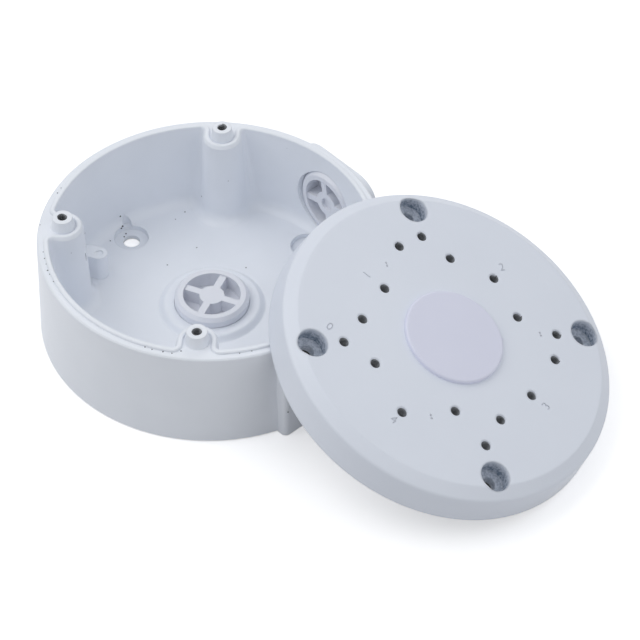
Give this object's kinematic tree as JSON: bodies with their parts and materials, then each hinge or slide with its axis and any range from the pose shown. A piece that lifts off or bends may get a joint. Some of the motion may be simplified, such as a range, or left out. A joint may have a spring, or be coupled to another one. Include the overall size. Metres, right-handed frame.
{
  "type": "camera wall mount junction box",
  "caption": "Round die-cast camera junction box for a wall, its mounting plate off and leaning on the rim, with blanking plugs in the conduit entries.",
  "frame": {"origin": "centre of the box's back face, which lies on the wall, amid the four wall-fixing holes", "axes": "+Z out of the open box, away from the wall; the four plate screws stand on the X and Y axes"},
  "size_m": [0.1958, 0.1564, 0.0544],
  "materials": {
    "coated_metal": "fine-textured powder coat on die-cast aluminium",
    "plug_plastic": "moulded, satin",
    "cap_plastic": "moulded, satin",
    "rubber": "moulded sealing rubber"
  },
  "bodies": {
    "root": {"box": "coated_metal", "floor_plug": "plug_plastic", "floor_plug_seal": "rubber", "rear_plug": "plug_plastic", "rear_plug_seal": "rubber", "front_plug": "plug_plastic", "front_plug_seal": "rubber", "mounting_plate": "coated_metal", "plate_gasket": "rubber", "centre_cap": "cap_plastic"}
  },
  "joints": []
}
